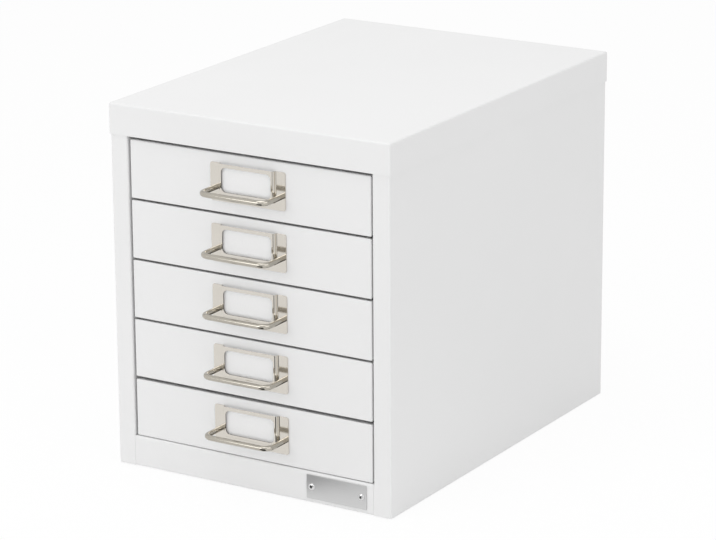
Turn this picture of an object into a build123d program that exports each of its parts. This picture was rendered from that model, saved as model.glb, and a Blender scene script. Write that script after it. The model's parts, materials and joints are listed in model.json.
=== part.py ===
from build123d import *
import math
import os

# Desktop filing cabinet with five drawers, in sheet steel. Millimetres.
# +Z is up, the drawers open towards -Y, and the origin is on the desk, under the
# middle of the whole cabinet with its pulls.

# Whole cabinet
cabinet_width = 279.0  # over the lid's skirts
cabinet_depth = 380.0  # over the lid's skirts, without the pulls
cabinet_height = 325.0  # desk to lid
drawer_count = 5

# Sheet steel
body_sheet = 0.8
lid_sheet = 0.9
runner_sheet = 0.8
tray_sheet = 0.7
front_sheet = 0.8
bend_radius = 0.8  # inside every fold, except on the drawer fronts
front_bend_radius = 0.4  # inside the sharper folds of the drawer fronts

# Body
foot_lift = 1.0  # the feet hold the body's lower edge off the desk
lid_fit = 0.1  # between the lid's skirts and the body
skirt_height = 27.4
upright_width = 17.0
return_depth = 15.0  # the folds beside, above and below the drawers
rear_flange = 14.0
back_flange = 12.0
bottom_rail_height = 27.4
top_rail_rise = 0.6  # the top rail stops this far above the skirt's edge
rail_fit = 0.1  # at each end of a rail
base_rise = 6.0  # base pan above the body's lower edge
base_flange = 16.0

# Rubber feet
foot_radius = 8.0
foot_edge_radius = 1.2
foot_inset_x = 22.0
foot_inset_y = 24.0
foot_stem_radius = 2.4
foot_barb_radius = 3.3
foot_barb_height = 3.0
foot_hole_clearance = 0.1

# Drawer fronts
front_recess = 1.4  # behind the uprights' faces
front_side_gap = 1.9
front_gap = 1.95  # between one front and the next
lowest_front_gap = 2.7  # above the lowest front, which hangs a little lower
front_top_gap = 2.95
front_bottom_gap = 0.55
front_depth = 14.0
front_lean = 2.0  # how far a front's sides lean in towards its back
front_lip = 10.0  # the folds at the back of a front, where its tray is welded

# Trays
rim_clearance = 1.5  # between a tray's rim and the upright's return
rim_width = 6.5
rim_lip = 7.0  # the rim's lip, which stands on the runner
rim_drop = 5.9  # top of a rim below the top of its front
tray_floor_rise = 3.2  # above the front's lower edge
tray_rear_room = 9.0  # behind the rear rim

# Runners and their stops
slide_clearance = 0.3
runner_wall_clearance = 1.2  # between a runner's legs and the tray's wall
runner_front_clearance = 0.5  # behind the drawer front
stop_tab_height = 2.0
stop_tab_length = 8.0
stop_tab_inset = 34.4  # ahead of the rim's rear end, so the open drawer stays held
stop_tab_clearance = 0.6  # above the tab, under the runner's upper leg
stop_overlap = 1.2  # how far the two opening stops catch
stop_gap = 0.3  # left between the stops at the ends of the travel
closing_stop_height = 6.0

# Label holders, with their cards
holder_width = 74.6
holder_height = 33.3
holder_rise = 1.0  # middle of the holder above the middle of the front
holder_sheet = 0.8
holder_corner = 2.0
pocket_width = 55.0
pocket_height = 27.4  # down from the holder's open top edge
pocket_reach = 2.9  # front of the pocket, proud of the flats
window_width = 49.2
window_height = 21.3
window_corner = 4.5
window_top = 3.0  # below the holder's top edge
card_thickness = 0.35
card_gap = 1.0  # between the window's frame and the card
card_side_clearance = 0.4
card_top_drop = 0.3

# Wire pulls
wire_radius = 2.4
pull_spacing = 64.4
pull_reach = 24.5  # middle of the bar in front of the holder's flats
pull_bend = 7.0
pull_drop = 5.0  # below the middle of the holder
tenon_radius = 1.5
tenon_clearance = 0.1
washer_radius = 4.0
washer_thickness = 1.0
peen_radius = 2.3
peen_height = 0.9

# Name plate, with its two hollow rivets
plate_width = 59.5
plate_height = 21.5
plate_rise = 0.75  # middle of the plate above the middle of the rail
plate_thickness = 0.8
plate_corner = 1.0
plate_right_inset = 6.5  # from the edge of the drawer opening
rivet_spacing = 49.0
rivet_radius = 1.6
rivet_clearance = 0.1
rivet_bore_radius = 1.1
rivet_head_radius = 3.2
rivet_head_height = 1.2
rivet_tail_radius = 2.2
rivet_tail_length = 2.0

cut_overrun = 2.0  # how far a cut runs past the metal

# Places that follow from the sizes above
body_bottom = foot_lift
body_half_width = cabinet_width / 2 - lid_sheet - lid_fit
body_half_depth = cabinet_depth / 2 - lid_sheet - lid_fit
panel_inside = body_half_width - body_sheet
frame_front = -body_half_depth
frame_back = frame_front + return_depth
lid_underside = cabinet_height - lid_sheet
skirt_bottom = cabinet_height - skirt_height
panel_top = lid_underside - bend_radius - lid_fit
back_rear = body_half_depth - body_sheet
back_inside = back_rear - body_sheet
sill = body_bottom + bottom_rail_height
opening_half_width = body_half_width - upright_width
rail_half_length = opening_half_width - rail_fit
base_underside = body_bottom + base_rise

all_gaps = front_top_gap + front_bottom_gap + lowest_front_gap + (drawer_count - 2) * front_gap
front_height = (skirt_bottom - sill - all_gaps) / drawer_count
front_half_width = opening_half_width - front_side_gap
drawer_pitch = front_height + front_gap
skin_front = frame_front + front_recess
skin_back = skin_front + front_sheet
tray_front = skin_front + front_depth
front_fold = front_bend_radius + front_sheet
front_slope = front_lean / front_depth
front_round_off = front_fold * (front_slope + math.hypot(1, front_slope) - 1)  # lost by rounding the edges

rim_half_width = opening_half_width - rim_clearance
tray_half_width = rim_half_width - rim_width
tray_rear = back_inside - tray_rear_room - rim_width
rim_top = front_height - rim_drop
rim_lip_bottom = rim_top - rim_lip
tray_corner = bend_radius + tray_sheet
tray_wall_top = rim_top - tray_corner
side_rim_rear = tray_rear - tray_corner

runner_inner = tray_half_width + runner_wall_clearance
runner_front = tray_front + runner_front_clearance
runner_bottom = rim_lip_bottom - slide_clearance - runner_sheet
upper_leg_underside = rim_top + stop_tab_height + stop_tab_clearance
runner_top = upper_leg_underside + runner_sheet
front_stop_bottom = rim_top + stop_tab_height - stop_overlap
front_stop_rear = runner_front + runner_sheet
tray_stop_rear = side_rim_rear - stop_tab_inset
tray_stop_front = tray_stop_rear - stop_tab_length
drawer_travel = tray_stop_front - front_stop_rear - stop_gap
runner_rear = side_rim_rear + stop_gap + runner_sheet

flat_front = skin_front - holder_sheet
pocket_front = flat_front - pocket_reach
holder_middle = front_height / 2 + holder_rise
holder_bottom = holder_middle - holder_height / 2
holder_top = holder_middle + holder_height / 2
pocket_bottom = holder_top - pocket_height
window_middle = holder_top - window_top - window_height / 2
pull_height = holder_middle - pull_drop
pull_bar = flat_front - pull_reach
pull_half_spacing = pull_spacing / 2
washer_back = skin_back + washer_thickness
tenon_hole_radius = tenon_radius + tenon_clearance

plate_middle_x = opening_half_width - plate_right_inset - plate_width / 2
plate_middle_z = body_bottom + bottom_rail_height / 2 + plate_rise
plate_front = frame_front - plate_thickness
rail_back_of_face = frame_front + body_sheet
rivet_places = [plate_middle_x - rivet_spacing / 2, plate_middle_x + rivet_spacing / 2]
rivet_hole_radius = rivet_radius + rivet_clearance

# The origin lies under the middle of everything, from the pulls to the lid's rear skirt
front_of_all = pull_bar - wire_radius
rear_of_all = cabinet_depth / 2
middle_y = (front_of_all + rear_of_all) / 2


def drawer_bottom(number):
    """Height of a drawer front's lower edge. Drawer 1 is at the top."""
    above_lowest = lowest_front_gap - front_gap if number < drawer_count else 0
    return sill + front_bottom_gap + above_lowest + (drawer_count - number) * drawer_pitch


def block(low, high):
    """A box between two corners."""
    size = Vector(*high) - Vector(*low)
    return Pos(*low) * Box(size.X, size.Y, size.Z, align=(Align.MIN, Align.MIN, Align.MIN))


def soft_block(low, high, radius, kept_face=None):
    """A box with rounded edges, except those round the face that lies furthest along kept_face."""
    solid = block(low, high)
    edges = solid.edges()
    if kept_face:
        kept = solid.faces().sort_by(kept_face)[-1].edges()
        edges = edges.filter_by(lambda edge: all(not edge.is_same(other) for other in kept))
    return fillet(edges, radius)


def rod(radius, start, end, along=Axis.Y):
    """A cylinder between two places on an axis through the origin."""
    length = end - start
    plane = Plane((0, 0, 0), z_dir=along.direction)
    from_its_end = (Align.CENTER, Align.CENTER, Align.MIN)
    return plane * Pos(0, 0, start) * Cylinder(radius, length, align=from_its_end)


def folded_section(face_points, sheet):
    """Section of a folded sheet. The points run along one face, with the metal on their left."""
    points = [Vector(*point) for point in face_points]
    runs = [(end - start).normalized() for start, end in zip(points, points[1:])]
    lefts = [Vector(-run.Y, run.X) for run in runs]
    far_points = [points[0] + lefts[0] * sheet]
    near_radii = []
    far_radii = []
    for corner, before, after, run_after in zip(points[1:], lefts, lefts[1:], runs[1:]):
        far_points.append(corner + (before + after) * (sheet / (1 + before.dot(after))))
        turns_left = before.dot(run_after) > 0
        near_radii.append(bend_radius + sheet if turns_left else bend_radius)
        far_radii.append(bend_radius if turns_left else bend_radius + sheet)
    far_points.append(points[-1] + lefts[-1] * sheet)
    near_face = FilletPolyline(*points, radius=near_radii)
    far_face = FilletPolyline(*far_points, radius=far_radii)
    ends = [Line(points[0], far_points[0]), Line(points[-1], far_points[-1])]
    return make_face([near_face, far_face, *ends])


def fold_up(face_points, sheet, bottom, top):
    """A sheet folded in plan, standing from bottom to top."""
    return Pos(0, 0, bottom) * extrude(folded_section(face_points, sheet), amount=top - bottom)


def fold_across(face_points, sheet, half_length):
    """A sheet folded in side view, as long each way from the middle."""
    return extrude(Plane.YZ * folded_section(face_points, sheet), amount=half_length, both=True)


def fold_along(face_points, sheet, front, rear):
    """A sheet folded in front view, running from front to rear."""
    section = Plane.XZ * folded_section(face_points, sheet)
    return Pos(0, front, 0) * extrude(section, amount=rear - front, dir=(0, 1, 0))


def pan(half_width, front, rear, bottom, top, sheet):
    """A pan folded from one sheet, open at the top."""
    outside = soft_block((-half_width, front, bottom), (half_width, rear, top), bend_radius + sheet, Axis.Z)
    inside = soft_block(
        (sheet - half_width, front + sheet, bottom + sheet),
        (half_width - sheet, rear - sheet, top + cut_overrun),
        bend_radius,
        Axis.Z,
    )
    return outside - inside


def both_sides(right_piece):
    """A pair of pieces, the left one the mirror image of the right one."""
    return {"left": mirror(right_piece, Plane.YZ), "right": right_piece}


# Body


def make_top_cover():
    half_width = cabinet_width / 2
    half_depth = cabinet_depth / 2
    outside = soft_block(
        (-half_width, -half_depth, skirt_bottom),
        (half_width, half_depth, cabinet_height),
        bend_radius + lid_sheet,
        -Axis.Z,
    )
    inside = soft_block(
        (lid_sheet - half_width, lid_sheet - half_depth, skirt_bottom - cut_overrun),
        (half_width - lid_sheet, half_depth - lid_sheet, lid_underside),
        bend_radius,
        -Axis.Z,
    )
    return outside - inside


def make_side_panel():
    """The right one. Beside the drawers its front edge is folded back; below, it meets the rail flat."""
    outline = [
        (opening_half_width, frame_front),
        (body_half_width, frame_front),
        (body_half_width, body_half_depth),
        (body_half_width - rear_flange, body_half_depth),
    ]
    lower = fold_up(outline, body_sheet, body_bottom, sill)
    upper = fold_up([(opening_half_width, frame_back), *outline], body_sheet, sill, panel_top)
    return lower + upper


def make_back_panel():
    half_width = panel_inside - bend_radius - lid_fit
    front = back_rear - back_flange
    outline = [
        (front, body_bottom),
        (back_rear, body_bottom),
        (back_rear, lid_underside),
        (front, lid_underside),
    ]
    return fold_across(outline, body_sheet, half_width)


def make_rail(bottom, top):
    outline = [
        (frame_back, top),
        (frame_front, top),
        (frame_front, bottom),
        (frame_back, bottom),
    ]
    return fold_across(outline, body_sheet, rail_half_length)


def make_bottom_rail():
    rail = make_rail(body_bottom, sill)
    for x in rivet_places:
        hole = rod(rivet_hole_radius, frame_front - cut_overrun, rail_back_of_face + cut_overrun)
        rail -= Pos(x, 0, plate_middle_z) * hole
    return rail


def foot_places():
    across = panel_inside - foot_inset_x
    front = frame_back + foot_inset_y
    rear = back_inside - foot_inset_y
    return [(x, y) for x in (-across, across) for y in (front, rear)]


def make_base_pan():
    base_top = base_underside + body_sheet
    flange_top = base_underside + base_flange
    base = pan(panel_inside, frame_back, back_inside, base_underside, flange_top, body_sheet)
    hole_radius = foot_stem_radius + foot_hole_clearance
    for x, y in foot_places():
        hole = rod(hole_radius, base_underside - cut_overrun, base_top + cut_overrun, Axis.Z)
        base -= Pos(x, y, 0) * hole
    return base


def make_foot():
    base_top = base_underside + body_sheet
    pad = rod(foot_radius, 0, base_underside, Axis.Z)
    pad = fillet(pad.edges().group_by(Axis.Z)[0], foot_edge_radius)
    stem = rod(foot_stem_radius, base_underside, base_top, Axis.Z)
    barb = Pos(0, 0, base_top) * Cone(
        foot_barb_radius,
        foot_stem_radius,
        foot_barb_height,
        align=(Align.CENTER, Align.CENTER, Align.MIN),
    )
    return pad + stem + barb


# Runners, with heights counted from the lower edge of their drawer's front


def make_runner():
    """The right one: a channel on the side panel, open towards the drawer."""
    outline = [
        (runner_inner, runner_bottom),
        (panel_inside, runner_bottom),
        (panel_inside, runner_top),
        (runner_inner, runner_top),
    ]
    channel = fold_along(outline, runner_sheet, runner_front, runner_rear)
    tab_outer = panel_inside - runner_sheet - bend_radius
    opening_stop = block(
        (runner_inner, runner_front, front_stop_bottom),
        (tab_outer, front_stop_rear, runner_top),
    )
    closing_stop = block(
        (runner_inner, runner_rear - runner_sheet, runner_bottom),
        (tab_outer, runner_rear, runner_bottom + closing_stop_height),
    )
    return channel + opening_stop + closing_stop


# Drawers, with heights counted from the lower edge of the front


def make_tray():
    wall_inside = tray_half_width - tray_sheet
    tray = pan(tray_half_width, tray_front, tray_rear, tray_floor_rise, tray_wall_top, tray_sheet)
    side_rim_outline = [
        (rim_half_width, rim_lip_bottom),
        (rim_half_width, rim_top),
        (wall_inside, rim_top),
        (wall_inside, rim_lip_bottom),
    ]
    side_rim = fold_along(side_rim_outline, tray_sheet, tray_front + tray_corner, side_rim_rear)
    stop_tab = block(
        (rim_half_width - tray_corner - tray_sheet, tray_stop_front, rim_top - tray_sheet),
        (rim_half_width - tray_corner, tray_stop_rear, rim_top + stop_tab_height),
    )
    for side_piece in both_sides(side_rim + stop_tab).values():
        tray += side_piece
    wall_rear_inside = tray_rear - tray_sheet
    rim_rear = tray_rear + rim_width
    rear_rim_outline = [
        (rim_rear, rim_lip_bottom),
        (rim_rear, rim_top),
        (wall_rear_inside, rim_top),
        (wall_rear_inside, rim_lip_bottom),
    ]
    return tray + fold_across(rear_rim_outline, tray_sheet, tray_half_width - tray_corner)


def pull_leg_places():
    return [-pull_half_spacing, pull_half_spacing]


def bore_for_tenons(piece, front, back):
    """The piece with a hole for each end of the pull."""
    for x in pull_leg_places():
        hole = rod(tenon_hole_radius, front - cut_overrun, back + cut_overrun)
        piece -= Pos(x, 0, pull_height) * hole
    return piece


def leaning_block(inset, front, rear, radius):
    """A block within a front's sharp outline, with its edges rounded. Its sides lean in towards the rear."""
    added = 2 * (front_round_off - inset)
    outline = Rectangle(2 * front_half_width + added, front_height + added)
    plane = Plane((0, front, front_height / 2), x_dir=(1, 0, 0), z_dir=(0, 1, 0))
    solid = extrude(plane * outline, amount=rear - front, taper=math.degrees(math.atan(front_slope)))
    return fillet(solid.edges(), radius)


def make_front():
    """A shallow hollow front. The folds round its open back are welded to the tray."""
    outside = leaning_block(0, skin_front, tray_front, front_fold)
    side_inset = front_sheet * (front_slope + math.hypot(1, front_slope))
    inside = leaning_block(side_inset, skin_back, tray_front - front_sheet, front_bend_radius)
    edge = front_lean + front_sheet + front_lip
    back_opening = block(
        (edge - front_half_width, tray_front - front_sheet - cut_overrun, edge),
        (front_half_width - edge, tray_front + cut_overrun, front_height - edge),
    )
    return bore_for_tenons(outside - inside - back_opening, skin_front, skin_back)


def make_label_holder():
    """A pressed plate whose raised pocket is open at the top and has a window."""
    half_width = holder_width / 2
    half_pocket = pocket_width / 2
    plate = block((-half_width, flat_front, holder_bottom), (half_width, skin_front, holder_top))
    plate = fillet(plate.edges().filter_by(Axis.Y), holder_corner)
    fold = bend_radius + holder_sheet
    outside = block((-half_pocket, pocket_front, pocket_bottom), (half_pocket, skin_front, holder_top))
    outside = fillet(outside.edges().filter_by(Axis.Y).group_by(Axis.Z)[0], fold)
    rim = outside.faces().sort_by(Axis.Y)[0].edges()
    outside = fillet(rim.filter_by(lambda edge: edge.center().Z < holder_top - fold), bend_radius)
    hollow = block(
        (holder_sheet - half_pocket, pocket_front + holder_sheet, pocket_bottom + holder_sheet),
        (half_pocket - holder_sheet, skin_front + cut_overrun, holder_top + cut_overrun),
    )
    window = RectangleRounded(window_width, window_height, window_corner)
    cutter = extrude(window, amount=holder_sheet + cut_overrun, both=True)
    cutter = Pos(0, pocket_front, window_middle) * Rot(90, 0, 0) * cutter
    holder = plate + outside - hollow - cutter
    return bore_for_tenons(holder, flat_front, skin_front)


def make_label_card():
    """A card that stands in the pocket, close behind the window's frame."""
    half_width = pocket_width / 2 - holder_sheet - card_side_clearance
    front = pocket_front + holder_sheet + card_gap
    low = (-half_width, front, pocket_bottom + holder_sheet)
    high = (half_width, front + card_thickness, holder_top - card_top_drop)
    return block(low, high)


def make_pull():
    """Bent wire with a shoulder on the holder, a tenon through the front and a peened end."""
    path = FilletPolyline(
        (-pull_half_spacing, flat_front, pull_height),
        (-pull_half_spacing, pull_bar, pull_height),
        (pull_half_spacing, pull_bar, pull_height),
        (pull_half_spacing, flat_front, pull_height),
        radius=pull_bend,
    )
    wire = sweep(Plane(path @ 0, z_dir=path % 0) * Circle(wire_radius), path=path)
    for x in pull_leg_places():
        tenon = rod(tenon_radius, flat_front, washer_back)
        peen = rod(peen_radius, washer_back, washer_back + peen_height)
        peen = fillet(peen.edges().sort_by(Axis.Y)[-1], peen_height / 2)
        wire += Pos(x, 0, pull_height) * (tenon + peen)
    return wire


def make_pull_washers():
    ring = rod(washer_radius, skin_back, washer_back)
    ring -= rod(tenon_hole_radius, skin_back - cut_overrun, washer_back + cut_overrun)
    return [Pos(x, 0, pull_height) * ring for x in pull_leg_places()]


# Name plate


def make_name_plate():
    half_width = plate_width / 2
    half_height = plate_height / 2
    plate = block((-half_width, plate_front, -half_height), (half_width, frame_front, half_height))
    plate = fillet(plate.edges().filter_by(Axis.Y), plate_corner)
    plate = Pos(plate_middle_x, 0, plate_middle_z) * plate
    for x in rivet_places:
        hole = rod(rivet_hole_radius, plate_front - cut_overrun, frame_front + cut_overrun)
        plate -= Pos(x, 0, plate_middle_z) * hole
    return plate


def make_rivet():
    """A hollow rivet, with a domed head on the plate and a swelled end behind the rail."""
    tail_end = rail_back_of_face + rivet_tail_length
    head = rod(rivet_head_radius, plate_front - rivet_head_height, plate_front)
    head = fillet(head.edges().sort_by(Axis.Y)[0], rivet_head_height / 2)
    shank = rod(rivet_radius, plate_front, rail_back_of_face)
    tail = rod(rivet_tail_radius, rail_back_of_face, tail_end)
    bore = rod(rivet_bore_radius, plate_front - rivet_head_height - cut_overrun, tail_end + cut_overrun)
    return head + shank + tail - bore


# All pieces, each under its name

pieces = {
    "top_cover": make_top_cover(),
    "back_panel": make_back_panel(),
    "base_pan": make_base_pan(),
    "front_bottom_rail": make_bottom_rail(),
    "front_top_rail": make_rail(skirt_bottom + top_rail_rise, lid_underside),
    "name_plate": make_name_plate(),
    "name_plate_rivets": [Pos(x, 0, plate_middle_z) * make_rivet() for x in rivet_places],
    "rubber_feet": [Pos(x, y, 0) * make_foot() for x, y in foot_places()],
}
for side, panel in both_sides(make_side_panel()).items():
    pieces[f"{side}_side_panel"] = panel

runners = both_sides(make_runner())
drawer_pieces = {
    "tray": make_tray(),
    "front": make_front(),
    "label_holder": make_label_holder(),
    "label_card": make_label_card(),
    "pull": make_pull(),
    "pull_washers": make_pull_washers(),
}
for number in range(1, drawer_count + 1):
    lift = Pos(0, 0, drawer_bottom(number))
    for side, runner in runners.items():
        pieces[f"runner_{side}_{number}"] = lift * runner
    for name, shape in drawer_pieces.items():
        lifted = [lift * solid for solid in shape] if isinstance(shape, list) else lift * shape
        pieces[f"drawer_{number}_{name}"] = lifted

os.makedirs("parts", exist_ok=True)
to_origin = Pos(0, -middle_y, 0)
for name, shape in pieces.items():
    solids = shape if isinstance(shape, list) else [shape]
    export_step(Compound([to_origin * solid for solid in solids]), f"parts/{name}.step")
print(len(pieces), "pieces, front height", round(front_height, 2), "travel", round(drawer_travel, 2))
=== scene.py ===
# %% [markdown]
# # A desktop filing cabinet in white steel
# The construction comes packed from the CAD model: every piece is there at its real size, in metres,
# and already moves with its drawer. This lesson gives the cabinet its looks. Pieces whose folds and
# pressed edges show are modelled again, with rounder folds than a CAD mesh has. The hidden ones keep
# their CAD shape and only get a finish.

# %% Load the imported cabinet
import json
import math

import bmesh
import bpy
from mathutils import Matrix, Vector


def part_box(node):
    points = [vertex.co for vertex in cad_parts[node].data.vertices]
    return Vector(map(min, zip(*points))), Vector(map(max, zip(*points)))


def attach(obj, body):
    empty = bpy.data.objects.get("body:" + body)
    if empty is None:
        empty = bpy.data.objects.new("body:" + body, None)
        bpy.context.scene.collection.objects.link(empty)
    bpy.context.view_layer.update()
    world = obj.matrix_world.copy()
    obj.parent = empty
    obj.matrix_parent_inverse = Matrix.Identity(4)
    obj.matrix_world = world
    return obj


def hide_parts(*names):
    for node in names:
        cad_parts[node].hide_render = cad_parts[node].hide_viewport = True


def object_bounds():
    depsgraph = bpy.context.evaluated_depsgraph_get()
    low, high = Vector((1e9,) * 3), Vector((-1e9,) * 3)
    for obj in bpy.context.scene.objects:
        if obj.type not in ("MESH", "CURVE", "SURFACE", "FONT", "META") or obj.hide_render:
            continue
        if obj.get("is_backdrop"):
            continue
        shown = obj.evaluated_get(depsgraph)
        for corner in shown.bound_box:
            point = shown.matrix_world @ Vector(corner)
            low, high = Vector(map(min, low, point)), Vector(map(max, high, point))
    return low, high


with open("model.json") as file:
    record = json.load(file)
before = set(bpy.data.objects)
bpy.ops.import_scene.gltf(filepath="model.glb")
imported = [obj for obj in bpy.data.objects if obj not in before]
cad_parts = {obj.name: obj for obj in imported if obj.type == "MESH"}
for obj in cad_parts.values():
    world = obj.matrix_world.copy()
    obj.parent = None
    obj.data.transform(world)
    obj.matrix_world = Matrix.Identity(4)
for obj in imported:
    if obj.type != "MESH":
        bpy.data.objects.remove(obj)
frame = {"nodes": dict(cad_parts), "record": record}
cad_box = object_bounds()
scene = bpy.context.scene
scene.view_settings.view_transform = "Standard"
MM = 0.001
DRAWERS = range(1, 6)


def in_mm(point):
    """A point or a size in millimetres, rounded for printing."""
    return [round(value / MM, 1) for value in point]


print("CAD box in mm", in_mm(cad_box[0]), in_mm(cad_box[1]))

# %% [markdown]
# ## The camera
# The photograph was taken from far away with a long lens, so upright edges hardly lean together. A
# camera can be aimed by a target that it tracks, but then the picture's slight tilt is lost. So it is
# placed by its direction from the cabinet and its distance, which a fit to the photograph's corners
# gave, and its axes are set one by one.

# %% Camera
LENS = 167.98
AZIMUTH = 31.63
ELEVATION = 16.82
ROLL = math.radians(-0.39)
DISTANCE = 3011.4 * MM
AIM_LEFT = 8.4 * MM
AIM_UP = 140.7 * MM
CLIP_END = 20


def direction(azimuth, elevation):
    """A direction from the cabinet by two angles in degrees: from the front to the right, and up."""
    around = math.radians(azimuth)
    above = math.radians(elevation)
    return Vector((
        math.sin(around) * math.cos(above),
        -math.cos(around) * math.cos(above),
        math.sin(above),
    ))


lid_low, lid_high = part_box("top_cover")
panel_low, panel_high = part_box("right_side_panel")
footprint = Vector((0, (lid_low.y + lid_high.y) / 2, panel_low.z))
back = direction(AZIMUTH, ELEVATION)
level = Vector((0, 0, 1)).cross(back).normalized()
upright = back.cross(level)
right = level * math.cos(ROLL) + upright * math.sin(ROLL)
up = upright * math.cos(ROLL) - level * math.sin(ROLL)

bpy.ops.object.camera_add()
camera = bpy.context.object
camera.name = "photograph_camera"
camera.data.lens = LENS
camera.data.clip_end = CLIP_END
viewpoint = footprint + back * DISTANCE - right * AIM_LEFT + up * AIM_UP
camera.matrix_world = Matrix.Translation(viewpoint) @ Matrix((right, up, back)).transposed().to_4x4()
scene.camera = camera
print("camera at", in_mm(viewpoint), "mm")

# %% [markdown]
# ## A small language for finishes
# A finish in Blender is a web of nodes. Written out node by node it hides the idea behind it, so two
# small classes let it read like a formula. The first is a Signal, a socket that understands sums.

# %% Signals


class Signal:
    """A socket of a finish. Python's operators on it add Math nodes."""

    def __init__(self, finish, socket):
        self.finish = finish
        self.socket = socket

    def math(self, operation, first, second):
        return self.finish.node("Math", {"operation": operation}, {0: first, 1: second})

    def __add__(self, other):
        return self.math("ADD", self, other)

    def __radd__(self, other):
        return self.math("ADD", other, self)

    def __sub__(self, other):
        return self.math("SUBTRACT", self, other)

    def __rsub__(self, other):
        return self.math("SUBTRACT", other, self)

    def __mul__(self, other):
        return self.math("MULTIPLY", self, other)

    def __rmul__(self, other):
        return self.math("MULTIPLY", other, self)


# %% [markdown]
# The second is a Finish, the set of nodes that belongs to a material, or to the world. Every node is
# added in one way: by its kind, its settings and what goes into its sockets.

# %% Finishes


class Finish:
    """The nodes of a material or of the world."""

    def __init__(self, owner):
        owner.use_nodes = True
        self.owner = owner
        self.tree = owner.node_tree
        self.tree.nodes.clear()

    def node(self, kind, settings=None, sockets=None, output=0):
        """Adds a node, sets its settings and then its sockets, and returns one of its outputs."""
        made = self.tree.nodes.new("ShaderNode" + kind)
        for name, value in (settings or {}).items():
            setattr(made, name, value)
        for name, value in (sockets or {}).items():
            if isinstance(value, Signal):
                self.tree.links.new(value.socket, made.inputs[name])
            else:
                made.inputs[name].default_value = value
        return Signal(self, made.outputs[output]) if made.outputs else None

    def place(self, scale=(1, 1, 1)):
        """Object coordinates, stretched along each axis."""
        coordinates = self.node("TexCoord", output="Object")
        return self.node("Mapping", sockets={"Vector": coordinates, "Scale": scale})

    def noise(self, place, scale, detail):
        """Soft noise around zero, from about -0.5 to 0.5."""
        return self.node("TexNoise", sockets={"Vector": place, "Scale": scale, "Detail": detail}) - 0.5

    def tint(self, factor, dark, light):
        """A colour between two, chosen by a value from 0 to 1."""
        return self.node("Mix", {"data_type": "RGBA"}, {0: factor, 6: dark, 7: light}, output=2)

    def bump(self, height, distance):
        """The relief that a height gives the surface."""
        return self.node("Bump", sockets={"Height": height, "Distance": distance})

    def seen(self):
        """1 for what the camera sees, also mirrored or through glass, and 0 for other light."""
        camera_ray = self.node("LightPath", output="Is Camera Ray")
        glossy_ray = self.node("LightPath", output="Is Glossy Ray")
        return camera_ray + glossy_ray + self.node("LightPath", output="Is Transmission Ray")

    def show(self, shader, kind="Material"):
        """Makes a shader the finished look of the material or the world, and returns that."""
        self.node("Output" + kind, sockets={"Surface": shader})
        return self.owner

    def surface(self, **sockets):
        """The look of a solid surface. Socket names are given with _ for spaces."""
        named = {name.replace("_", " "): value for name, value in sockets.items()}
        return self.show(self.node("BsdfPrincipled", sockets=named))


# %% [markdown]
# ## The finishes
# Every surface of the cabinet has a fine grain, which gives it relief, and the paint and the nickel also
# have wide clouds, which tint them. This is what tells paint, plate and paper from plain plastic. It
# could be wired up anew for each, but it is always the same web, so one function makes them all, and
# each finish is a list of its values.
#
# White powder coat is never perfectly flat: the powder melts into a skin with a fine orange peel, which
# only shows where light grazes it. The label holders and pulls are nickel plated, which is warmer than
# chrome. Their polishing lines run along the axis with the smallest stretch. The pulls get a darker
# nickel than the holders: painted shade, standing in for the darker surroundings that the wire mirrors.

# %% Powder coat and nickel plate
CLOUD_DETAIL = 2.0


def grey(value):
    """A neutral colour, from the level that a picture file holds, 0 to 255."""
    share = value / 255
    linear = ((share + 0.055) / 1.055) ** 2.4
    return (linear, linear, linear, 1)


def colour(red, green, blue):
    """A colour from the levels that a picture file holds."""
    return (grey(red)[0], grey(green)[0], grey(blue)[0], 1)


def make_finish(name, dark, light, relief, roughness, uneven, stretch=(1, 1, 1), scale=1.0, detail=2.0,
                clouds=None, cloudy=0.0, metallic=0.0):
    """A finish with a fine grain, and with clouds where their scale is given.

    The clouds tint it, or else the grain does. Uneven and cloudy say how far the two change its roughness.
    """
    finish = Finish(bpy.data.materials.new(name))
    grain = finish.noise(finish.place(stretch), scale, detail)
    rough = roughness + grain * uneven
    shade = grain
    if clouds:
        shade = finish.noise(finish.place(), clouds, CLOUD_DETAIL)
        rough = rough + shade * cloudy
    return finish.surface(
        Base_Color=finish.tint(shade + 0.5, dark, light),
        Metallic=metallic,
        Roughness=rough,
        Normal=finish.bump(grain, relief),
    )


powder_coat = make_finish(
    "powder_coat", grey(233), grey(236), relief=0.02 * MM, roughness=0.46, uneven=0.05,
    scale=620, detail=1.0, clouds=9, cloudy=0.04,
)
# The wire's darker colour is painted shade for the darker surroundings that it mirrors.
nickel_wire_painted_shade = make_finish(
    "nickel_wire_painted_shade", colour(173, 168, 158), colour(187, 182, 172), relief=0.003 * MM, roughness=0.06,
    uneven=0.08, stretch=(240, 1600, 1600), detail=3.0, clouds=60, cloudy=0.05, metallic=1.0,
)
nickel_sheet = make_finish(
    "nickel_sheet", colour(208, 203, 194), colour(218, 213, 205), relief=0.003 * MM, roughness=0.1,
    uneven=0.08, stretch=(2600, 2600, 90), detail=3.0, clouds=60, cloudy=0.05, metallic=1.0,
)
print("finishes", [finish.name for finish in (powder_coat, nickel_wire_painted_shade, nickel_sheet)])
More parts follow.
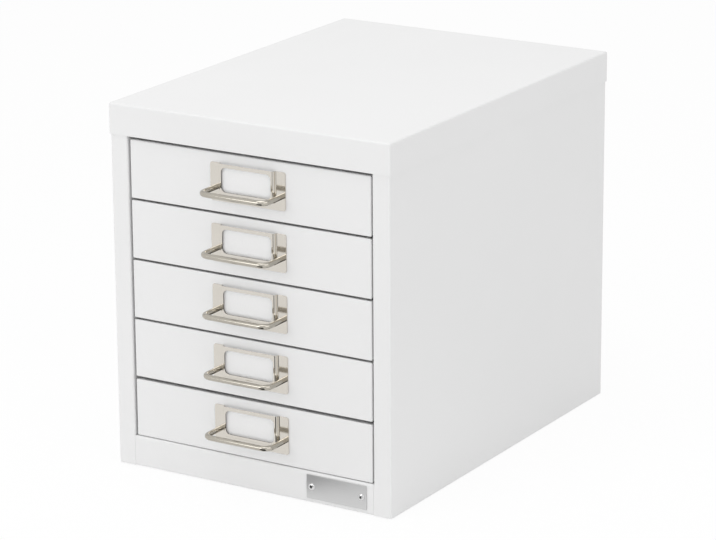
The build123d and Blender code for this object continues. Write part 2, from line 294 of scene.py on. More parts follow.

# %% [markdown]
# The small plate is brushed aluminium, its rivets are plain aluminium and the cards are paper. The
# windows of the label holders are stamped out after plating, so their cut edges are bare, dull steel.
# Their finish is made far darker than steel: painted shade, standing in for the shade between the frame
# and the card. Under the cabinet are rubber feet, and behind the fronts zinc-plated washers. The CAD
# nodes get their finish by the material slot that the record names for them.

# %% The smaller finishes
# Painted shade: the cut edge is darkened to stand in for the shade between frame and card.
cut_edge_painted_shade = make_finish(
    "cut_edge_painted_shade", grey(62), grey(90), relief=0.01 * MM, roughness=0.5, uneven=0.2,
    stretch=(1500, 90, 1500), metallic=1.0,
)
brushed_plate = make_finish(
    "brushed_aluminium", grey(201), grey(216), relief=0.01 * MM, roughness=0.42, uneven=0.2,
    stretch=(60, 2800, 2800), detail=4.0, metallic=1.0,
)
rivet_metal = make_finish(
    "rivet_aluminium", grey(205), grey(222), relief=0.01 * MM, roughness=0.22, uneven=0.1,
    scale=300, metallic=1.0,
)
card_paper = make_finish(
    "card_paper", grey(240), grey(246), relief=0.01 * MM, roughness=0.85, uneven=0.1,
    stretch=(900, 900, 300), detail=4.0,
)
black_rubber = make_finish(
    "black_rubber", grey(34), grey(46), relief=0.03 * MM, roughness=0.7, uneven=0.15,
    scale=700, detail=3.0,
)
zinc_plate = make_finish(
    "zinc_plate", grey(176), grey(198), relief=0.01 * MM, roughness=0.34, uneven=0.15,
    scale=450, metallic=1.0,
)
finish_of_slot = {
    "white_powder_coat": powder_coat,
    "satin_nickel": nickel_sheet,
    "name_plate": brushed_plate,
    "rivets": rivet_metal,
    "label_card": card_paper,
    "rubber": black_rubber,
    "zinc_steel": zinc_plate,
}
slot_of = {row["node"]: row["material_slot"] for row in frame["record"]["subparts"]}
for node, cad_piece in frame["nodes"].items():
    cad_piece.data.materials.clear()
    cad_piece.data.materials.append(finish_of_slot[slot_of[node]])
print("finishes on", len(frame["nodes"]), "CAD nodes")

# %% [markdown]
# ## Tools for folded sheet
# Nearly every piece is sheet steel with folds. On the bench a fold is made along a line of a flat
# blank, and the same works in edit mode: start from a box, throw away the sides that are open, draw an
# edge out into a flange, round the folds with a bevel and give the sheet its thickness. Edges and faces
# are chosen by where they lie, because their numbers change with every step.

# %% Start a piece and choose from it
NEAR = 0.02 * MM


def begin(name, low, high):
    """Adds a box between two corners, with its place in its mesh, and opens it for editing."""
    low = Vector(low)
    high = Vector(high)
    bpy.ops.object.select_all(action="DESELECT")
    bpy.ops.mesh.primitive_cube_add(size=1, location=(low + high) / 2)
    piece = bpy.context.object
    piece.name = name
    piece.data.name = name
    piece.scale = high - low
    bpy.ops.object.transform_apply(location=True, rotation=True, scale=True)
    bpy.ops.object.mode_set(mode="EDIT")
    return piece


def middle(element):
    """The middle of a face or an edge, or the place of a corner."""
    if isinstance(element, bmesh.types.BMFace):
        return element.calc_center_median()
    if isinstance(element, bmesh.types.BMEdge):
        return (element.verts[0].co + element.verts[1].co) / 2
    return element.co


def pick(kind, test):
    """Selects the faces, edges or corners of the open mesh that pass a test."""
    data = bpy.context.edit_object.data
    bpy.ops.mesh.select_mode(type=kind)
    bpy.ops.mesh.select_all(action="DESELECT")
    mesh = bmesh.from_edit_mesh(data)
    elements = {"FACE": mesh.faces, "EDGE": mesh.edges, "VERT": mesh.verts}[kind]
    for element in elements:
        if test(element):
            element.select_set(True)
    bmesh.update_edit_mesh(data)


# %% [markdown]
# Folds are rounded while the sheet is still thin, so that its two sides stay parallel when it gets its
# thickness. Last, the cut edges are rounded as paint or polish does. The normals are weighted by the
# size of the faces, which keeps flat sheet flat right up to a fold.

# %% Fold, thicken and soften
FOLD_ANGLE = math.radians(60)
SMOOTH_ANGLE = math.radians(35)
FOLD_STEPS = 5
BEND_RADIUS = 0.8 * MM
PAINT_EDGE = 0.14 * MM
FACING = 0.9


def remove_faces(test):
    """Takes away the faces that pass a test."""
    pick("FACE", test)
    bpy.ops.mesh.delete(type="FACE")


def is_fold(edge):
    return len(edge.link_faces) == 2 and edge.calc_face_angle() > FOLD_ANGLE


def round_edges(radius, test=is_fold):
    """Rounds the edges that pass a test."""
    pick("EDGE", test)
    bpy.ops.mesh.bevel(offset=radius, segments=FOLD_STEPS, affect="EDGES", clamp_overlap=False)


def apply(kind, **settings):
    """Adds a modifier to the piece in hand and applies it."""
    modifier = bpy.context.object.modifiers.new(kind.lower(), kind)
    for name, value in settings.items():
        setattr(modifier, name, value)
    bpy.ops.object.modifier_apply(modifier=modifier.name)


def thicken(sheet):
    """Leaves edit mode and gives the sheet its thickness, on its inner side."""
    bpy.ops.object.mode_set(mode="OBJECT")
    apply("SOLIDIFY", thickness=sheet, offset=-1, use_even_offset=True)


def soften(width=PAINT_EDGE, steps=2):
    """Leaves edit mode, rounds the cut edges, and smooths the folds but not the flats."""
    bpy.ops.object.mode_set(mode="OBJECT")
    apply("BEVEL", width=width, segments=steps, limit_method="ANGLE", angle_limit=FOLD_ANGLE)
    bpy.ops.object.shade_smooth_by_angle(angle=SMOOTH_ANGLE)
    apply("WEIGHTED_NORMAL", keep_sharp=True)


# %% [markdown]
# ## The lid
# One sheet with a skirt folded down on all four sides, its corners welded and ground round. It could be
# drawn flat and folded up flap by flap, as on the bench, but then four corners would have to be closed.
# A box without its bottom is closed from the start, and the edges that are left between two faces are
# the folds. The finished lid then takes the place of its CAD node.

# %% Lid
LID_SHEET = 0.9 * MM
body_of = {}
for body, members in frame["record"]["behaviour"]["bodies"].items():
    for member in members:
        body_of[member] = body


def dress(piece, node, *finishes):
    """Puts a finished piece in the place of its CAD node."""
    for finish in finishes:
        piece.data.materials.append(finish)
    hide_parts(node)
    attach(piece, body_of[node])


def describe(piece, count=1):
    """Prints what was made: how many, its size and its number of faces."""
    size = []
    for axis in range(3):
        places = [corner.co[axis] for corner in piece.data.vertices]
        size.append(max(places) - min(places))
    print(count, "x", piece.name, in_mm(size), "mm,", len(piece.data.polygons), "faces")


def make_lid():
    piece = begin("lid", lid_low, lid_high)
    remove_faces(lambda face: face.normal.z < -FACING)
    round_edges(BEND_RADIUS + LID_SHEET)
    thicken(LID_SHEET)
    soften()
    return piece


lid = make_lid()
dress(lid, "top_cover", powder_coat)
describe(lid)

# %% [markdown]
# ## The side panels
# Each side is one sheet with the upright beside the drawers folded from its front edge. Beside the
# drawers the upright's edge is folded back into the cabinet, so that no cut edge shows. Below them it
# stops flat against the rail. Two sheets set side by side would show a seam there. Instead one sheet is
# scored at the height of the rail, so that only the upper part of its edge is drawn out.

# %% Side panels
BODY_SHEET = 0.8 * MM
REAR_FLANGE = 14 * MM
rail_low, rail_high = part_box("front_bottom_rail")
RETURN_DEPTH = rail_high.y - rail_low.y


def is_open(edge):
    return len(edge.link_faces) == 1


def cut_at(point, normal):
    """Scores the whole mesh along a plane."""
    bpy.ops.mesh.select_all(action="SELECT")
    bpy.ops.mesh.bisect(plane_co=point, plane_no=normal)


def fold_out(test, offset):
    """Draws the edges that pass a test out into a flange."""
    pick("EDGE", test)
    bpy.ops.mesh.extrude_region_move(TRANSFORM_OT_translate={"value": offset})


def make_side_panel(name, node, outward):
    """Outward is 1 for the right panel and -1 for the left one."""
    low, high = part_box(node)
    inner_x = low.x if outward > 0 else high.x

    def is_inner(edge):
        return is_open(edge) and abs(middle(edge).x - inner_x) < NEAR

    def is_beside_drawers(edge):
        place = middle(edge)
        return is_inner(edge) and place.y < low.y + NEAR and place.z > rail_high.z + NEAR

    piece = begin(name, low, high)
    remove_faces(lambda face: abs(face.normal.z) > FACING or face.normal.x * outward < -FACING)
    cut_at((0, 0, rail_high.z), (0, 0, 1))
    spare = (high.x - low.x) - REAR_FLANGE
    pick("EDGE", lambda edge: is_inner(edge) and middle(edge).y > high.y - NEAR)
    bpy.ops.transform.translate(value=(spare * outward, 0, 0))
    fold_out(is_beside_drawers, (0, RETURN_DEPTH, 0))
    round_edges(BEND_RADIUS + BODY_SHEET)
    thicken(BODY_SHEET)
    soften()
    return piece


for name, node, outward in (
    ("right_panel", "right_side_panel", 1),
    ("left_panel", "left_side_panel", -1),
):
    panel = make_side_panel(name, node, outward)
    dress(panel, node, powder_coat)
    describe(panel)

# %% [markdown]
# ## The rail under the drawers
# A channel, open towards the inside, welded in between the uprights. The joints beside it show as fine
# lines. Two holes take the rivets of the small plate. A hole could be a ring of edges in the sheet's
# grid, but then the whole grid has to follow it. A drill, a round bar that is taken away from the sheet,
# leaves the rest alone.

# %% Bottom rail
DRILL_SIDES = 32
DRILL_OVERRUN = 1 * MM
RIVET_HEAD_RADIUS = 3.2 * MM
RIVET_HOLE_RADIUS = 1.7 * MM
rivets_low, rivets_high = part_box("name_plate_rivets")
rivet_z = (rivets_low.z + rivets_high.z) / 2
rivet_places = [rivets_low.x + RIVET_HEAD_RADIUS, rivets_high.x - RIVET_HEAD_RADIUS]


def drill(piece, places, z, radius, front, sheet):
    """Leaves edit mode and drills round holes from the front through one layer of sheet."""
    bpy.ops.object.mode_set(mode="OBJECT")
    depth = sheet + 2 * DRILL_OVERRUN
    for x in places:
        bpy.ops.mesh.primitive_cylinder_add(
            vertices=DRILL_SIDES,
            radius=radius,
            depth=depth,
            location=(x, front - DRILL_OVERRUN + depth / 2, z),
            rotation=(math.pi / 2, 0, 0),
        )
        bit = bpy.context.object
        bpy.context.view_layer.objects.active = piece
        apply("BOOLEAN", operation="DIFFERENCE", object=bit)
        bpy.data.objects.remove(bit)


def make_rail():
    piece = begin("sill_rail", rail_low, rail_high)
    remove_faces(lambda face: abs(face.normal.x) > FACING or face.normal.y > FACING)
    round_edges(BEND_RADIUS + BODY_SHEET)
    thicken(BODY_SHEET)
    drill(piece, rivet_places, rivet_z, RIVET_HOLE_RADIUS, rail_low.y, BODY_SHEET)
    soften()
    return piece


sill_rail = make_rail()
dress(sill_rail, "front_bottom_rail", powder_coat)
describe(sill_rail)

# %% [markdown]
# ## One piece for five drawers
# The drawers are alike, so each of their pieces is modelled once, on drawer 1, and copied down. Linked
# copies would share one mesh and be placed by their objects. Here every piece has its place in its own
# mesh, as the CAD nodes have, so each copy gets its own. Drawer 1 comes last, because a piece that is
# already dressed can't be copied.

# %% Copies for the drawers


def copy_of(piece, offset):
    """A copy of a piece with a mesh of its own, moved by an offset."""
    bpy.ops.object.select_all(action="DESELECT")
    piece.select_set(True)
    bpy.context.view_layer.objects.active = piece
    bpy.ops.object.duplicate(linked=False)
    bpy.ops.transform.translate(value=offset)
    bpy.ops.object.transform_apply(location=True, rotation=True, scale=True)
    return bpy.context.object


def dress_drawers(first, part, *finishes):
    """Copies a piece of drawer 1 to the drawers below it, and dresses them all."""
    name = first.name
    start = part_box(f"drawer_1_{part}")[0]
    for number in reversed(DRAWERS):
        node = f"drawer_{number}_{part}"
        piece = copy_of(first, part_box(node)[0] - start) if number > 1 else first
        piece.name = f"{name}_{number}"
        piece.data.name = piece.name
        dress(piece, node, *finishes)
    describe(first, len(DRAWERS))


# %% [markdown]
# ## The drawer fronts
# A front is a shallow hollow box: the face, four sides folded back, and narrow folds round its open
# back, where the tray is welded on. The sides lean in towards the back, so that the gaps between the
# fronts look thin and dark. Flaps folded one by one would each need the lean. Shrinking the box's rear
# face gives it to all four at once, and the opening is an inset of that face, taken away. Rounding the
# edge of a leaning side takes a little off the front's size, so the box starts that much larger. In the
# inner corners the sheet's thickness crowds some points together, and these are welded.

# %% Drawer fronts
WIRE_RADIUS = 2.4 * MM
TENON_HOLE_RADIUS = 1.6 * MM
FRONT_SHEET = 0.8 * MM
FRONT_BEND = 0.4 * MM
FRONT_LIP = 10 * MM
FRONT_LEAN = 2 * MM
FRONT_WELD = 0.06 * MM
pull_low, pull_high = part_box("drawer_1_pull")
leg_x = pull_high.x - WIRE_RADIUS
pull_z = (pull_low.z + pull_high.z) / 2


def weld(distance):
    """Joins points of the mesh that lie closer than a distance, and turns all faces outwards."""
    bpy.ops.object.mode_set(mode="EDIT")
    bpy.ops.mesh.select_all(action="SELECT")
    bpy.ops.mesh.remove_doubles(threshold=distance)
    bpy.ops.mesh.normals_make_consistent(inside=False)


def make_front():
    low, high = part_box("drawer_1_front")
    fold = FRONT_BEND + FRONT_SHEET
    slope = FRONT_LEAN / (high.y - low.y)
    round_off = Vector((1, 0, 1)) * fold * (slope + math.hypot(1, slope) - 1)
    low = low - round_off
    high = high + round_off
    size = high - low
    piece = begin("drawer_front", low, high)
    pick("FACE", lambda face: face.normal.y > FACING)
    shrink = (1 - 2 * FRONT_LEAN / size.x, 1, 1 - 2 * FRONT_LEAN / size.z)
    bpy.ops.transform.resize(value=shrink, center_override=(low + high) / 2)
    bpy.ops.mesh.inset(thickness=FRONT_SHEET + FRONT_LIP)
    bpy.ops.mesh.delete(type="FACE")
    round_edges(fold)
    thicken(FRONT_SHEET)
    weld(FRONT_WELD)
    drill(piece, (-leg_x, leg_x), pull_z, TENON_HOLE_RADIUS, low.y, FRONT_SHEET)
    soften()
    return piece


dress_drawers(make_front(), "front", powder_coat)

# %% [markdown]
# ## The trays
# The tray is a pan with a rim rolled outwards along its sides and its rear. The lip of the rim stands on
# the runner. A swept profile could make the rim, but it would have to be fitted to the wall. Here it is
# drawn out of the wall's own top edge and then down, along the same line of edges. On the real tray the
# small tabs that stop the drawer are bent up from the rim. Here they are let into it.

# %% Trays
TRAY_SHEET = 0.7 * MM
RIM_WIDTH = 6.5 * MM
RIM_LIP = 7 * MM
STOP_TAB_HEIGHT = 2 * MM
STOP_TAB_LENGTH = 8 * MM
STOP_TAB_INSET = 34.4 * MM
tray_low, tray_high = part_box("drawer_1_tray")
wall_x = tray_high.x - RIM_WIDTH
wall_rear = tray_high.y - RIM_WIDTH


def roll_rim(rim_under):
    """Draws the rim out of the top edge of the walls, and down."""
    out = RIM_WIDTH - TRAY_SHEET
    walls = (
        (lambda point: point.x > wall_x - NEAR, (out, 0, 0)),
        (lambda point: point.x < NEAR - wall_x, (-out, 0, 0)),
        (lambda point: point.y > wall_rear - NEAR, (0, out, 0)),
    )
    for lies_on_wall, outwards in walls:
        fold_out(
            lambda edge: is_open(edge) and lies_on_wall(middle(edge)) and middle(edge).z > rim_under - NEAR,
            outwards,
        )
        bpy.ops.mesh.extrude_region_move(TRANSFORM_OT_translate={"value": (0, 0, TRAY_SHEET - RIM_LIP)})


def add_stop_tabs():
    """Adds the two tabs to the tray in hand."""
    bpy.ops.object.mode_set(mode="EDIT")
    tab_x = tray_high.x - BEND_RADIUS - TRAY_SHEET * 1.5
    tab_y = wall_rear - BEND_RADIUS - TRAY_SHEET - STOP_TAB_INSET - STOP_TAB_LENGTH / 2
    tab_height = STOP_TAB_HEIGHT + TRAY_SHEET / 2
    for x in (-tab_x, tab_x):
        bpy.ops.mesh.primitive_cube_add(
            size=1,
            location=(x, tab_y, tray_high.z - tab_height / 2),
            scale=(TRAY_SHEET, STOP_TAB_LENGTH, tab_height),
        )


def make_tray():
    rim_under = tray_high.z - STOP_TAB_HEIGHT - TRAY_SHEET
    piece = begin("tray", (-wall_x, tray_low.y, tray_low.z), (wall_x, wall_rear, rim_under))
    remove_faces(lambda face: face.normal.z > FACING)
    round_edges(BEND_RADIUS + TRAY_SHEET)
    roll_rim(rim_under)
    round_edges(BEND_RADIUS, lambda edge: is_fold(edge) and middle(edge).z > rim_under - NEAR)
    thicken(TRAY_SHEET)
    add_stop_tabs()
    soften()
    return piece


dress_drawers(make_tray(), "tray", powder_coat)

# %% [markdown]
# ## The label holders
# A plate pressed from thin sheet: its middle stands forward as a pocket that is open at the top, with a
# round-cornered window in front of the card. A rounded box set on a plate would give the pocket, but not
# the fold where it rises out of the plate. So it is made as in the press, from flat blanks. These are
# the tools for them: a blank is a flat face with round corners, and the space between the outlines of
# two blanks can be filled.

# %% Blanks
CORNER_STEPS = 8


def begin_empty(name):
    """Adds a piece with nothing in it yet, and opens it for editing."""
    bpy.ops.object.select_all(action="DESELECT")
    bpy.ops.object.add(type="MESH")
    piece = bpy.context.object
    piece.name = name
    piece.data.name = name
    bpy.ops.object.mode_set(mode="EDIT")
    return piece


def add_blank(half_width, y, bottom, top, corner):
    """Adds a flat face with round corners to the open mesh. It looks to the front."""
    place = (0, y, (bottom + top) / 2)
    bpy.ops.mesh.select_mode(type="VERT")
    bpy.ops.mesh.select_all(action="DESELECT")
    bpy.ops.mesh.primitive_plane_add(size=1, location=place, rotation=(math.pi / 2, 0, 0))
    bpy.ops.transform.resize(value=(2 * half_width, 1, top - bottom), center_override=place)
    bpy.ops.mesh.bevel(offset=corner, segments=CORNER_STEPS, affect="VERTICES")


def is_as_wide(face, width):
    across = [corner.co.x for corner in face.verts]
    return abs(max(across) - min(across) - width) < NEAR


def open_blank(width, y):
    """Takes away the face of the blank of a given width, and leaves its outline."""
    pick("FACE", lambda face: abs(middle(face).y - y) < NEAR and is_as_wide(face, width))
    bpy.ops.mesh.delete(type="ONLY_FACE")


def join_outlines(y):
    """Fills the space between the two open outlines at a depth."""

    def is_outline(edge):
        return len(edge.link_faces) < 2 and all(abs(corner.co.y - y) < NEAR for corner in edge.verts)

    pick("EDGE", is_outline)
    bpy.ops.mesh.fill()


def round_corners(radius, test, steps=FOLD_STEPS):
    """Rounds the corners of a flat sheet that pass a test."""
    pick("VERT", test)
    bpy.ops.mesh.bevel(offset=radius, segments=steps, affect="VERTICES", clamp_overlap=False)


def face_front():
    """Turns the sheet's outer side to the front, whichever way its faces were made."""
    bpy.ops.mesh.select_all(action="SELECT")
    bpy.ops.mesh.normals_make_consistent(inside=False)
    mesh = bmesh.from_edit_mesh(bpy.context.edit_object.data)
    if sum(face.normal.y * face.calc_area() for face in mesh.faces) > 0:
        bpy.ops.mesh.flip_normals()


# %% [markdown]
# The blank of the dish is taller than the plate. The dish is pressed into it in small insets that follow
# the curve of its two folds. The window is cut out of the dish, the plate is joined on round it, and
# then the top is trimmed off, which opens the pocket. The faces in the thickness of the sheet round the
# window get the finish of a cut edge, darkened as painted shade for the shade between frame and card.

# %% Label holders
HOLDER_SHEET = 0.8 * MM
HOLDER_CORNER = 2 * MM
HOLDER_EDGE = 0.1 * MM
POCKET_WIDTH = 55 * MM
POCKET_HEIGHT = 27.4 * MM
POCKET_CORNER = 3.6 * MM
POCKET_DRAFT = 0.1 * MM
WINDOW_WIDTH = 49.2 * MM
WINDOW_HEIGHT = 21.3 * MM
WINDOW_TOP = 3 * MM
WINDOW_CORNER = 4.5 * MM
CUT_FACING = 0.5
TRIM = 12 * MM
holder_low, holder_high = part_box("drawer_1_label_holder")
flat_front = holder_high.y - HOLDER_SHEET


def wall_steps(depth):
    """The steps of the dish's wall from the plate to its front: how far in, and how far forward."""
    outer = BEND_RADIUS + HOLDER_SHEET
    turns = [math.pi / 2 * step / FOLD_STEPS for step in range(FOLD_STEPS + 1)]
    points = [(BEND_RADIUS * math.sin(turn), BEND_RADIUS * (1 - math.cos(turn))) for turn in turns]
    for turn in turns:
        inward = BEND_RADIUS + POCKET_DRAFT + outer * (1 - math.cos(turn))
        points.append((inward, depth - outer + outer * math.sin(turn)))
    return [(after[0] - before[0], after[1] - before[1]) for before, after in zip(points, points[1:])]


def mark_shaded_cut_edge(piece, window_top):
    """Gives the faces round the window the second finish of the piece, a cut edge darkened as painted
    shade.
    """
    for face in piece.data.polygons:
        in_sheet = face.center.y < holder_low.y + HOLDER_SHEET and abs(face.normal.y) < CUT_FACING
        in_width = abs(face.center.x) < WINDOW_WIDTH / 2 + NEAR
        in_height = window_top - WINDOW_HEIGHT - NEAR < face.center.z < window_top + NEAR
        if in_sheet and in_width and in_height:
            face.material_index = 1


def make_label_holder():
    low, high = holder_low, holder_high
    half_dish = POCKET_WIDTH / 2 + BEND_RADIUS
    dish_bottom = high.z - POCKET_HEIGHT - BEND_RADIUS
    window_top = high.z - WINDOW_TOP
    piece = begin_empty("label_holder")
    add_blank(half_dish, flat_front, dish_bottom, high.z + TRIM, POCKET_CORNER)
    pick("FACE", lambda face: True)
    for inward, forward in wall_steps(flat_front - low.y):
        bpy.ops.mesh.inset(thickness=inward, depth=forward)
    bpy.ops.mesh.delete(type="ONLY_FACE")
    add_blank(WINDOW_WIDTH / 2, low.y, window_top - WINDOW_HEIGHT, window_top, WINDOW_CORNER)
    open_blank(WINDOW_WIDTH, low.y)
    join_outlines(low.y)
    add_blank(high.x, flat_front, low.z, high.z + 2 * TRIM, HOLDER_CORNER)
    open_blank(2 * high.x, flat_front)
    join_outlines(flat_front)
    bpy.ops.mesh.select_all(action="SELECT")
    bpy.ops.mesh.bisect(plane_co=(0, 0, high.z), plane_no=(0, 0, 1), clear_outer=True)
    face_front()
    round_corners(
        HOLDER_CORNER,
        lambda corner: abs(abs(corner.co.x) - high.x) < NEAR and corner.co.z > high.z - NEAR,
    )
    thicken(HOLDER_SHEET)
    drill(piece, (-leg_x, leg_x), pull_z, TENON_HOLE_RADIUS, flat_front, HOLDER_SHEET)
    soften(width=HOLDER_EDGE)
    mark_shaded_cut_edge(piece, window_top)
    return piece


dress_drawers(make_label_holder(), "label_holder", nickel_sheet, cut_edge_painted_shade)

# %% [markdown]
# ## The label cards
# A card slips into the pocket from above and stands behind the window. Real card is never quite flat. A
# flat box would do at a glance, but the light on it would be dead even. So the card is drawn across
# strip by strip, each a little further back or forward, and its middle bows away from the frame.

# %% Label cards
CARD_BOW = 0.25 * MM
CARD_CORNER = 0.6 * MM
CARD_THICKNESS = 0.35 * MM
CARD_EDGE = 0.05 * MM
CARD_STRIPS = 12


def bow_at(strip):
    """How far the card has bowed back after a number of strips."""
    across = 2 * strip / CARD_STRIPS - 1
    return CARD_BOW * (1 - across * across)


def make_label_card():
    low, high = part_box("drawer_1_label_card")
    strip = (high.x - low.x) / CARD_STRIPS
    piece = begin("label_card", low, (low.x + strip, high.y, high.z))
    remove_faces(lambda face: face.normal.y > -FACING)
    pick("EDGE", lambda edge: middle(edge).x > low.x + strip - NEAR)
    bpy.ops.transform.translate(value=(0, bow_at(1), 0))
    for number in range(2, CARD_STRIPS + 1):
        step = (strip, bow_at(number) - bow_at(number - 1), 0)
        bpy.ops.mesh.extrude_edges_move(TRANSFORM_OT_translate={"value": step})
    round_corners(CARD_CORNER, lambda corner: len(corner.link_edges) == 2, steps=3)
    thicken(CARD_THICKNESS)
    soften(width=CARD_EDGE, steps=1)
    return piece


dress_drawers(make_label_card(), "label_card", card_paper)

# %% [markdown]
# ## The wire pulls
# A pull is bent from one length of wire. Its ends are turned down to pins that go through the holder and
# the front, and are peened over washers behind. A curve with a round bevel would do for the wire, but
# not for the pins. So it is made the way the wire is bent: a disc of the wire's size is drawn out from
# the holder, spun round the first bend, drawn along the bar, spun round the second bend and drawn back.

# %% Wire pulls
PULL_BEND = 7 * MM
PULL_EDGE = 0.2 * MM
WIRE_SIDES = 32
BEND_STEPS = 10
TENON_RADIUS = 1.5 * MM
PEEN_RADIUS = 2.3 * MM
PEEN_HEIGHT = 0.9 * MM
SEAM_WELD = NEAR / 4


def draw(x, y):
    """Draws the picked faces out along the wire."""
    bpy.ops.mesh.extrude_region_move(TRANSFORM_OT_translate={"value": (x, y, 0)})


def bend_wire():
    """Draws the whole wire from the left end, which is picked, to the right end."""

    def bend(centre):
        bpy.ops.mesh.spin(steps=BEND_STEPS, angle=-math.pi / 2, center=centre, axis=(0, 0, 1))

    bend_y = pull_low.y + WIRE_RADIUS + PULL_BEND
    bend_x = leg_x - PULL_BEND
    draw(0, bend_y - flat_front)
    bend((-bend_x, bend_y, pull_z))
    draw(2 * bend_x, 0)
    bend((bend_x, bend_y, pull_z))
    draw(0, flat_front - bend_y)


def peen_end(side):
    """Turns one end down to a pin and gives it its peened head. Side is -1 for the left end."""
    pick(
        "FACE",
        lambda face: len(face.verts) == WIRE_SIDES
        and abs(middle(face).y - flat_front) < NEAR
        and middle(face).x * side > 0,
    )
    tenon_end = pull_high.y - PEEN_HEIGHT
    stretch = PEEN_RADIUS / TENON_RADIUS
    bpy.ops.mesh.inset(thickness=WIRE_RADIUS - TENON_RADIUS)
    draw(0, tenon_end - flat_front)
    draw(0, 0)
    bpy.ops.transform.resize(value=(stretch, 1, stretch), center_override=(side * leg_x, tenon_end, pull_z))
    draw(0, PEEN_HEIGHT)


def make_pull():
    bpy.ops.object.select_all(action="DESELECT")
    bpy.ops.mesh.primitive_circle_add(
        vertices=WIRE_SIDES,
        radius=WIRE_RADIUS,
        fill_type="NGON",
        location=(-leg_x, flat_front, pull_z),
        rotation=(math.pi / 2, 0, 0),
    )
    bpy.ops.object.transform_apply(location=True, rotation=True, scale=True)
    piece = bpy.context.object
    piece.name = "wire_pull"
    bpy.ops.object.mode_set(mode="EDIT")
    bpy.ops.mesh.select_all(action="SELECT")
    bend_wire()
    for side in (-1, 1):
        peen_end(side)
    weld(SEAM_WELD)
    soften(width=PULL_EDGE)
    return piece


dress_drawers(make_pull(), "pull", nickel_wire_painted_shade)

# %% [markdown]
# ## The small plate
# A bare brushed plate is riveted to the rail. Only its four short edges get round corners: a bevel of
# the whole box would round its face as well, and a stamped plate is flat up to its edge.

# %% Plate
PLATE_CORNER = 1 * MM
PLATE_EDGE = 0.2 * MM
plate_low, plate_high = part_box("name_plate")


def make_plate():
    piece = begin("bare_plate", plate_low, plate_high)
    round_edges(
        PLATE_CORNER,
        lambda edge: is_fold(edge) and plate_low.y + NEAR < middle(edge).y < plate_high.y - NEAR,
    )
    drill(piece, rivet_places, rivet_z, RIVET_HOLE_RADIUS, plate_low.y, plate_high.y - plate_low.y)
    soften(width=PLATE_EDGE, steps=3)
    return piece


plate = make_plate()
dress(plate, "name_plate", brushed_plate)
describe(plate)

# %% [markdown]
# ## The rivets
# The rivets are hollow, with domed heads, so their dark middles show. A flattened ball would hide that.
# A rivet is turned work, so it starts as a ring under its head. The ring is drawn over the dome, down
# the bore, round the swelled end behind the rail and back up the shank, where it meets itself.

# %% Rivets
RIVET_RADIUS = 1.6 * MM
RIVET_HEAD_HEIGHT = 1.2 * MM
RIVET_BORE_RADIUS = 1.1 * MM
RIVET_TAIL_RADIUS = 2.2 * MM
RIVET_TAIL_LENGTH = 2 * MM
RIVET_SIDES = 32
DOME_STEPS = 6


def rivet_rings():
    """The rings of a rivet from under its head and round to there again: radius and depth."""
    rings = [(RIVET_HEAD_RADIUS, plate_low.y)]
    for step in range(1, DOME_STEPS + 1):
        turn = math.pi / 2 * step / DOME_STEPS
        radius = RIVET_BORE_RADIUS + (RIVET_HEAD_RADIUS - RIVET_BORE_RADIUS) * math.cos(turn)
        rings.append((radius, plate_low.y - RIVET_HEAD_HEIGHT * math.sin(turn)))
    tail_front = rivets_high.y - RIVET_TAIL_LENGTH
    return rings + [
        (RIVET_BORE_RADIUS, rivets_high.y),
        (RIVET_TAIL_RADIUS, rivets_high.y),
        (RIVET_TAIL_RADIUS, tail_front),
        (RIVET_RADIUS, tail_front),
        (RIVET_RADIUS, plate_low.y),
        (RIVET_HEAD_RADIUS, plate_low.y),
    ]


def add_rivet(x):
    """Adds one rivet to the open mesh."""
    rings = rivet_rings()
    bpy.ops.mesh.select_all(action="DESELECT")
    bpy.ops.mesh.primitive_circle_add(
        vertices=RIVET_SIDES,
        radius=rings[0][0],
        location=(x, rings[0][1], rivet_z),
        rotation=(math.pi / 2, 0, 0),
    )
    for (radius, y), (next_radius, next_y) in zip(rings, rings[1:]):
        stretch = next_radius / radius
        bpy.ops.mesh.extrude_edges_move(TRANSFORM_OT_translate={"value": (0, next_y - y, 0)})
        bpy.ops.transform.resize(value=(stretch, 1, stretch), center_override=(x, 0, rivet_z))


def make_rivets():
    piece = begin_empty("hollow_rivets")
    for x in rivet_places:
        add_rivet(x)
    weld(SEAM_WELD)
    bpy.ops.object.mode_set(mode="OBJECT")
    bpy.ops.object.shade_smooth_by_angle(angle=SMOOTH_ANGLE)
    return piece


rivets = make_rivets()
dress(rivets, "name_plate_rivets", rivet_metal)
describe(rivets)

# %% [markdown]
# ## The studio
# A product picture on white. A paper sweep lit up to white would throw so much light back that the white
# paint lost its shades. So the white is painted by the floor and the world only for what the camera
# sees, directly or mirrored. The cabinet itself is lit by an even glow from all round, and the floor
# keeps a little of its shadow.

# %% Floor and world
GLOW = 0.7
FLOOR_SIZE = 8.0
FLOOR_SHADE = 0.08
FLOOR_GREY = grey(250)
WHITE = grey(255)


def make_floor_finish():
    finish = Finish(bpy.data.materials.new("studio_floor"))
    matt = finish.node("BsdfDiffuse", sockets={"Color": FLOOR_GREY})
    white = finish.node("Emission", sockets={"Color": WHITE, "Strength": 1.0})
    share = finish.seen() * (1 - FLOOR_SHADE)
    return finish.show(finish.node("MixShader", sockets={0: share, 1: matt, 2: white}))


def make_world():
    sky = Finish(bpy.data.worlds.new("studio_world"))
    glow = sky.node("Background", sockets={"Color": WHITE, "Strength": GLOW})
    white = sky.node("Background", sockets={"Color": WHITE, "Strength": 1.0})
    return sky.show(sky.node("MixShader", sockets={0: sky.seen(), 1: glow, 2: white}), kind="World")


bpy.ops.mesh.primitive_plane_add(size=FLOOR_SIZE)
floor = bpy.context.object
floor.name = "studio_floor"
floor.data.materials.append(make_floor_finish())
floor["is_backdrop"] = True
scene.world = make_world()
print("floor", FLOOR_SIZE, "m wide, glow", GLOW)

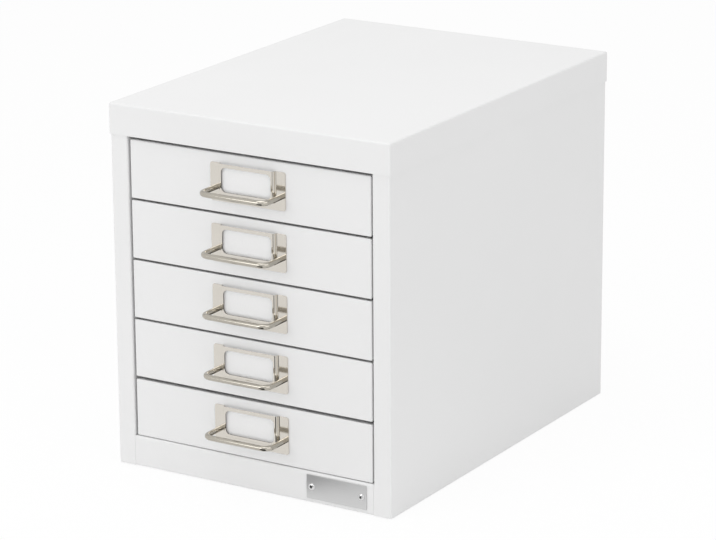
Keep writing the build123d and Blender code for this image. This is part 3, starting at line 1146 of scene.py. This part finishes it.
# %% [markdown]
# Three soft lamps shape the cabinet: a broad one above brightens the lid, one at the front left the
# drawers, and a weaker one on the right the side. Small lamps would do it with hard shadows under the
# pulls, which the photograph doesn't have.

# %% Soft lamps
target = (cad_box[0] + cad_box[1]) / 2


def add_softbox(name, azimuth, elevation, distance, size, power):
    """A square lamp that looks at the cabinet from a direction given in degrees."""
    towards = direction(azimuth, elevation)
    bpy.ops.object.light_add(type="AREA", location=target + towards * distance)
    lamp = bpy.context.object
    lamp.name = name
    lamp.data.size = size
    lamp.data.energy = power
    lamp.rotation_euler = towards.to_track_quat("Z", "Y").to_euler()
    print(name, power, "W from", in_mm(lamp.location), "mm")


add_softbox("softbox_above", azimuth=-20, elevation=80, distance=2.2, size=1.6, power=12.6)
add_softbox("softbox_front", azimuth=-20, elevation=20, distance=2.6, size=1.0, power=8.9)
add_softbox("softbox_right", azimuth=70, elevation=30, distance=2.6, size=1.6, power=7.0)

# %% [markdown]
# Bright metal only looks like metal when it has something dark to mirror: in a studio, the floor in
# front of the white sweep and the room beyond. Darker metal would be the simple way, but it would dull
# the flat plates too. This patch spreads out from a point before the right legs of the pulls. It stays
# between the two directions in which the plates and the sides of the pockets mirror the studio, so they
# stay bright, and only round wire and folds get dark lines. It is part of a round wall, with its lower
# edge drawn in over the floor, and it is paler further away. Only mirror-like rays see it, so it
# neither shades the cabinet nor shows in the picture.

# %% Dark surroundings
ROOM_RADIUS = 1.3
ROOM_HEIGHT = 0.3
ROOM_SIDES = 192
ROOM_FADE = 0.6
ROOM_SPAN = math.radians(30)
ROOM_DISTANCE = 17.5 * MM
ROOM_LIFT = 2 * MM
FLOOR_END = 0.01
BLACK = grey(0)


def make_room_finish():
    """A tone that rises with the distance from the patch's starting point."""
    finish = Finish(bpy.data.materials.new("dark_room"))
    across = finish.place((1, 1, 0))
    distance = finish.node("VectorMath", {"operation": "LENGTH"}, {0: across}, output="Value")
    tone = finish.tint(distance * ROOM_FADE, BLACK, WHITE)
    return finish.show(finish.node("Emission", sockets={"Color": tone, "Strength": 1.0}))


def make_room():
    start = Vector((leg_x, flat_front - ROOM_DISTANCE, ROOM_LIFT))
    ahead = Vector((0, -1, 0))
    inwards = FLOOR_END / ROOM_RADIUS
    bpy.ops.mesh.primitive_cylinder_add(
        vertices=ROOM_SIDES,
        radius=ROOM_RADIUS,
        depth=ROOM_HEIGHT,
        end_fill_type="NOTHING",
        location=start + Vector((0, 0, ROOM_HEIGHT / 2)),
    )
    wall = bpy.context.object
    wall.name = "dark_room"
    bpy.ops.object.mode_set(mode="EDIT")
    remove_faces(lambda face: face.normal.angle(ahead) > ROOM_SPAN)
    fold_out(lambda edge: max(corner.co.z for corner in edge.verts) < 0, (0, 0, 0))
    bpy.ops.transform.resize(value=(inwards, inwards, 1), center_override=start)
    bpy.ops.object.mode_set(mode="OBJECT")
    wall.data.materials.append(make_room_finish())
    return wall


room = make_room()
room.visible_camera = False
room.visible_diffuse = False
room.visible_shadow = False
room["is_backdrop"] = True
describe(room)

# %% [markdown]
# ## Size of the finished pieces
# The box round the finished pieces is printed, as the CAD box was at the start. The
# finished pieces may not be larger than the CAD model.

# %% Size of the finished pieces
visual_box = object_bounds()
print("visual box in mm", in_mm(visual_box[0]), in_mm(visual_box[1]))
